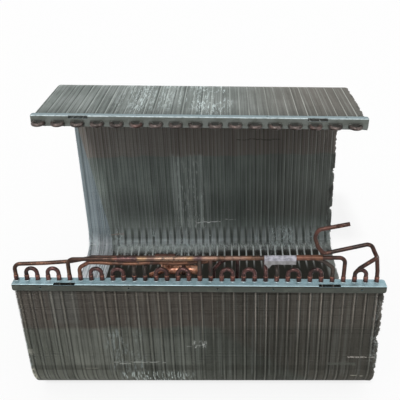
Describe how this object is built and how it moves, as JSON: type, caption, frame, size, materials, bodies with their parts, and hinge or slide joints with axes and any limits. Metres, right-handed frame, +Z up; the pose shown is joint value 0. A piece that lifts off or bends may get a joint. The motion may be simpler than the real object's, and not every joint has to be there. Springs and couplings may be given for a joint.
{
  "type": "condenser coil",
  "caption": "Wrap-round refrigeration condenser coil: one row of copper tubes in a fin pack bent to four sides, with folded tube sheets, return bends and headers.",
  "frame": {"origin": "on the floor, midway across the width and the depth", "axes": "+X along the pack's width to the right, +Y from the front leg to the back leg, +Z up"},
  "size_m": [0.8655, 0.751, 0.6691],
  "materials": {
    "fins": "dull, dusty thin fins",
    "tube_sheets": "dull galvanised",
    "copper": "tarnished copper tube",
    "bright_copper": "cleaner copper tube",
    "wrap": "plain matt wrap"
  },
  "bodies": {
    "root": {"back_bend_fins": "fins", "back_fins": "fins", "base_fins": "fins", "branch_tube": "copper", "bypass_loop": "copper", "feeder_1": "copper", "feeder_12": "copper", "feeder_13": "copper", "feeder_18": "copper", "feeder_19": "copper", "feeder_24": "copper", "feeder_25": "copper", "feeder_30": "copper", "feeder_31": "copper", "feeder_6": "copper", "feeder_7": "copper", "front_bend_fins": "fins", "front_fins": "fins", "front_tube_sheet": "tube_sheets", "gas_header": "copper", "gas_trunk": "bright_copper", "hairpins": "copper", "header_end": "copper", "header_joint": "copper", "header_label": "wrap", "liquid_header": "copper", "outlet_tube": "copper", "return_bends": "copper", "top_bend_fins": "fins", "top_fins": "fins", "top_tube_sheet": "tube_sheets", "trunk_collar": "bright_copper", "trunk_stub": "copper", "tube_ends": "copper"}
  },
  "joints": []
}
